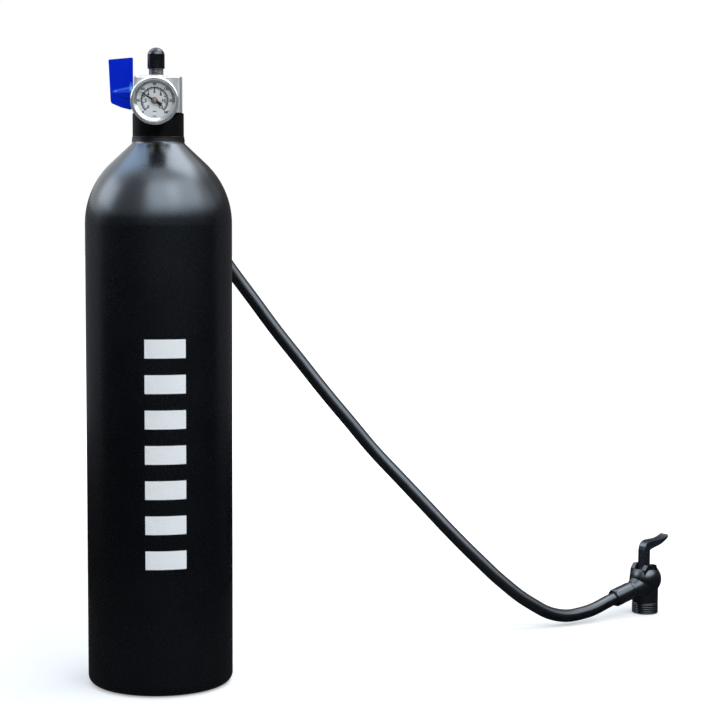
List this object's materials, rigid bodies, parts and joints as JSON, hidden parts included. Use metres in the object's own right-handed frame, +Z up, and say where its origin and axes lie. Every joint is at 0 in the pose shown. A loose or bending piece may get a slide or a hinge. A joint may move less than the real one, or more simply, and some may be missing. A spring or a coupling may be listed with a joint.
{
  "type": "tubeless inflator tank",
  "caption": "Black pressure bottle with a shut-off valve block, dial gauge, capped filling valve and a hose ending in a lever chuck for tyre valves.",
  "frame": {"origin": "centre of the bottle's flat base, on the surface that it stands on", "axes": "+Z up along the bottle, -Y to the front where the gauge faces, +X to the right towards the chuck"},
  "size_m": [0.368, 0.2012, 0.3489],
  "materials": {
    "tank_paint": "satin powder coat",
    "black_anodised": "black anodised",
    "seal_rubber": "matt",
    "bare_alloy": "machined",
    "white_plastic": "matt",
    "steel": "brushed",
    "brass": "turned",
    "black_plastic": "moulded",
    "hose_rubber": "smooth",
    "chrome": "polished",
    "blue_plastic": "glossy",
    "white_paint": "smooth",
    "black_paint": "satin",
    "glass": "clear"
  },
  "bodies": {
    "tank": {"tank_shell": "tank_paint", "neck_collar": "black_anodised", "neck_oring": "seal_rubber", "valve_block": "bare_alloy", "ball_seat_front": "white_plastic", "ball_seat_rear": "white_plastic", "stem_packing": "white_plastic", "gland_nut": "steel", "outlet_fitting": "brass", "outlet_washer": "white_plastic", "hose_ferrule": "black_plastic", "hose": "hose_rubber", "fill_valve_stem": "chrome", "fill_core_body": "brass", "fill_core_spring": "steel", "gauge_washer": "white_plastic", "gauge_socket": "brass", "gauge_case": "chrome", "bourdon_tube": "brass", "movement_plates": "brass", "gauge_hairspring": "steel", "gauge_dial": "white_paint", "gauge_dial_ring": "chrome", "gauge_lens": "glass", "gauge_bezel": "chrome", "chuck_sleeve": "black_plastic", "chuck_barb": "brass", "chuck_body": "black_plastic", "chuck_gland": "seal_rubber", "lever_pin": "steel"},
    "handle": {"valve_handle": "blue_plastic", "valve_stem": "steel", "valve_ball": "chrome", "handle_grub_screw": "steel"},
    "cap": {"valve_cap": "black_plastic", "cap_gasket": "seal_rubber"},
    "core_pin": {"fill_core_pin": "brass", "fill_core_seal": "seal_rubber"},
    "pointer": {"gauge_pointer": "black_paint", "pointer_spindle": "steel"},
    "sector": {"gauge_sector": "brass"},
    "link": {"gauge_link": "steel"},
    "lever": {"chuck_lever": "black_plastic"},
    "plunger": {"chuck_plunger": "white_plastic", "plunger_oring": "seal_rubber"},
    "ring": {"chuck_ring": "black_plastic"}
  },
  "joints": [
    {"name": "handle_turn", "type": "hinge", "parent": "tank", "child": "handle", "pos_m": [-0.015, 0.0045, 0.32482], "axis": [-1, 0, 0], "range_deg": [0, 90]},
    {"name": "cap_lift", "type": "slide", "parent": "tank", "child": "cap", "axis": [0, 0, 1], "range_m": [0, 0.012]},
    {"name": "core_pin_press", "type": "slide", "parent": "tank", "child": "core_pin", "axis": [0, 0, 1], "range_m": [-0.0012, 0], "stiffness_N_per_m": 400, "springref_m": 0.0008, "deforming": ["fill_core_spring"]},
    {"name": "pointer_turn", "type": "hinge", "parent": "tank", "child": "pointer", "pos_m": [-0.0019, -0.025, 0.31972], "axis": [0, 1, 0], "range_deg": [-76, 194]},
    {"name": "sector_turn", "type": "hinge", "parent": "tank", "child": "sector", "pos_m": [-0.0019, -0.022, 0.31372], "axis": [0, 1, 0], "range_deg": [-48.6, 19.1]},
    {"name": "link_swing", "type": "hinge", "parent": "sector", "child": "link", "pos_m": [-0.0034, -0.022, 0.31372], "axis": [0, 1, 0], "range_deg": [-19.1, 48.6]},
    {"name": "lever_fold", "type": "hinge", "parent": "tank", "child": "lever", "pos_m": [0.3133, 0.15075, 0.0285], "axis": [-0.5, 0.866, 0], "range_deg": [0, 90]},
    {"name": "plunger_lift", "type": "slide", "parent": "tank", "child": "plunger", "axis": [0, 0, 1], "range_m": [0, 0.00151]},
    {"name": "ring_turn", "type": "hinge", "parent": "tank", "child": "ring", "pos_m": [0.312, 0.15, 0.004], "axis": [0, 0, 1], "range_deg": [0, 360]}
  ],
  "couplings": [
    {"joint": "sector_turn", "follows": "pointer_turn", "ratio": -0.25},
    {"joint": "link_swing", "follows": "pointer_turn", "ratio": 0.25},
    {"joint": "plunger_lift", "follows": "lever_fold", "m_per_rad": 0.00095493}
  ]
}
